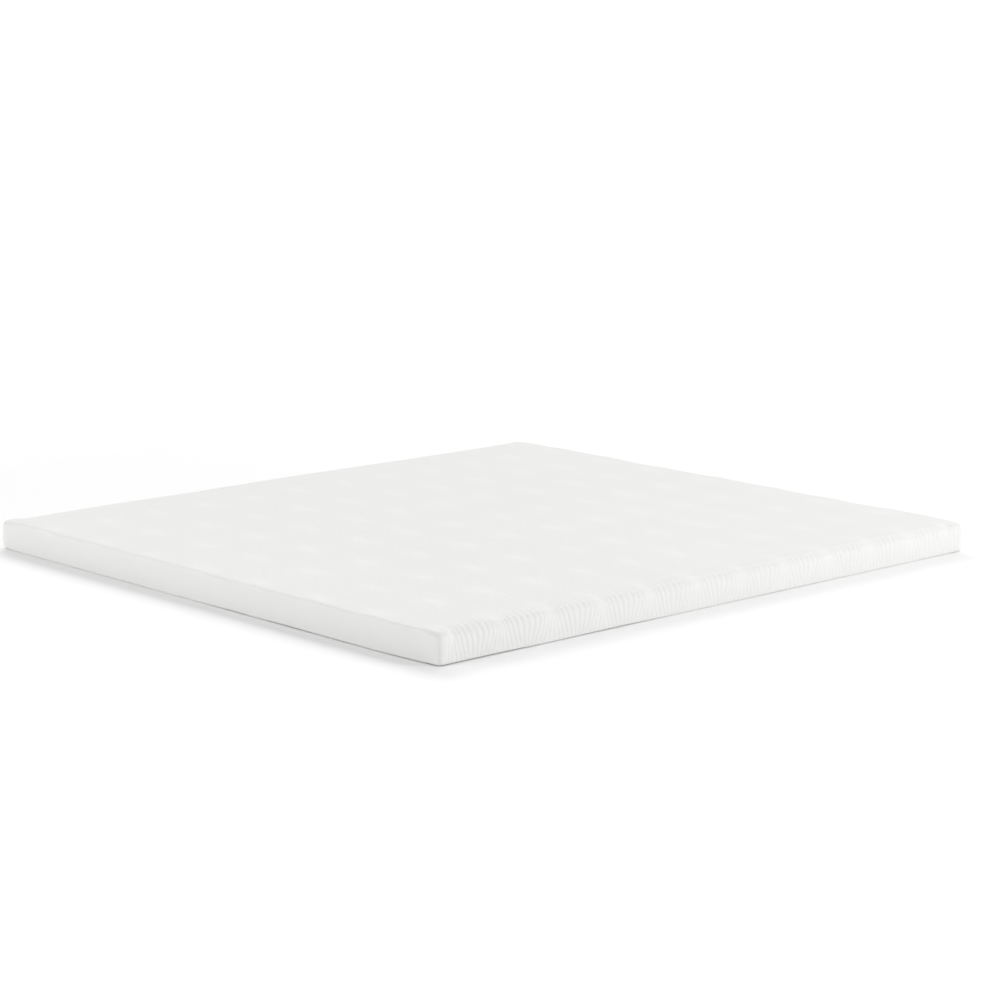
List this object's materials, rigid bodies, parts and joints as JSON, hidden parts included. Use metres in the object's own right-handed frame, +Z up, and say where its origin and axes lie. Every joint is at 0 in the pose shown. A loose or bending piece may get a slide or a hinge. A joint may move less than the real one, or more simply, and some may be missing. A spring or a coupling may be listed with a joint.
{
  "type": "mattress topper",
  "caption": "Flat foam mattress topper for a double bed, in a fitted white knitted cover with wavy ribs and rounded, seamed corners.",
  "frame": {"origin": "on the surface that the topper lies on, under the middle of the topper", "axes": "+X along the length, +Y along the width, +Z up from the bed"},
  "size_m": [2, 1.8, 0.0853],
  "materials": {
    "knitted_cover": "matt white double knit with raised wavy ribs",
    "underside_cloth": "matt off-white plain knit"
  },
  "bodies": {
    "root": {"topper_pad": "knitted_cover", "underside_panel": "underside_cloth"}
  },
  "joints": []
}
